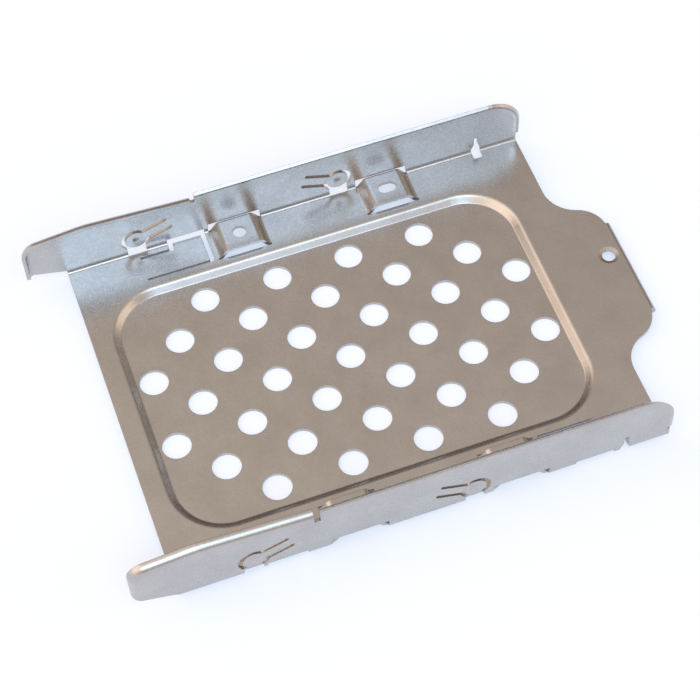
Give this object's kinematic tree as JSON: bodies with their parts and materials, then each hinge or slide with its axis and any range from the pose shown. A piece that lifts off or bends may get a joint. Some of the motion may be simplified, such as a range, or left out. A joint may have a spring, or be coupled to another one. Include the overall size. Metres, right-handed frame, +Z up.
{
  "type": "hard drive cage",
  "caption": "Folded sheet-steel tray for a desktop hard drive, with rolled side walls, a sunken vented floor, raised screw straps, spring fingers and an end tab.",
  "frame": {"origin": "middle of the whole tray in plan, at the underside of the sunken floor panel, on which it rests", "axes": "+X along the side walls towards the end tab, +Y to the left-hand wall, +Z up, out of the tray's open side"},
  "size_m": [0.1606, 0.109, 0.0224],
  "materials": {
    "zinc_plated_steel": "satin"
  },
  "bodies": {
    "root": {"drive_cage": "zinc_plated_steel"}
  },
  "joints": []
}
